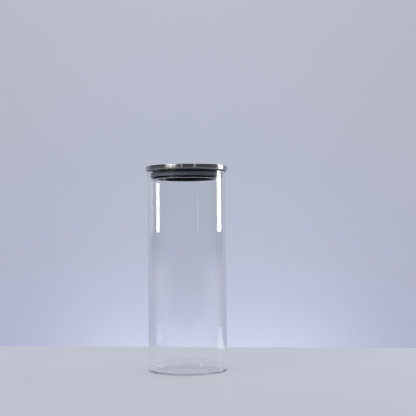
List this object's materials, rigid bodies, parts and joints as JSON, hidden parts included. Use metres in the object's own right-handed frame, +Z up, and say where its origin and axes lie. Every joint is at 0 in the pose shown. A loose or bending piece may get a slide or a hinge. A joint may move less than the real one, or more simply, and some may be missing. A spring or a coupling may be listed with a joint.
{
  "type": "lidded glass canister",
  "caption": "Tall straight glass jar with a push-in lid: brushed steel cap, black hollow plug and grey silicone seal.",
  "frame": {"origin": "centre of the base, on the surface that the jar stands on", "axes": "+Z up along the jar's own axis, out of its mouth"},
  "size_m": [0.1052, 0.1052, 0.2612],
  "materials": {
    "clear_glass": "clear, polished",
    "brushed_steel": "spun brushed",
    "black_plastic": "semi-gloss moulded",
    "grey_silicone": "satin"
  },
  "bodies": {
    "jar": {"glass_jar": "clear_glass"},
    "lid": {"steel_cap": "brushed_steel", "lid_core": "black_plastic", "seal_ring": "grey_silicone"}
  },
  "joints": [
    {"name": "lid_lift", "type": "slide", "parent": "jar", "child": "lid", "axis": [0, 0, 1], "range_m": [0, 0.06]}
  ]
}
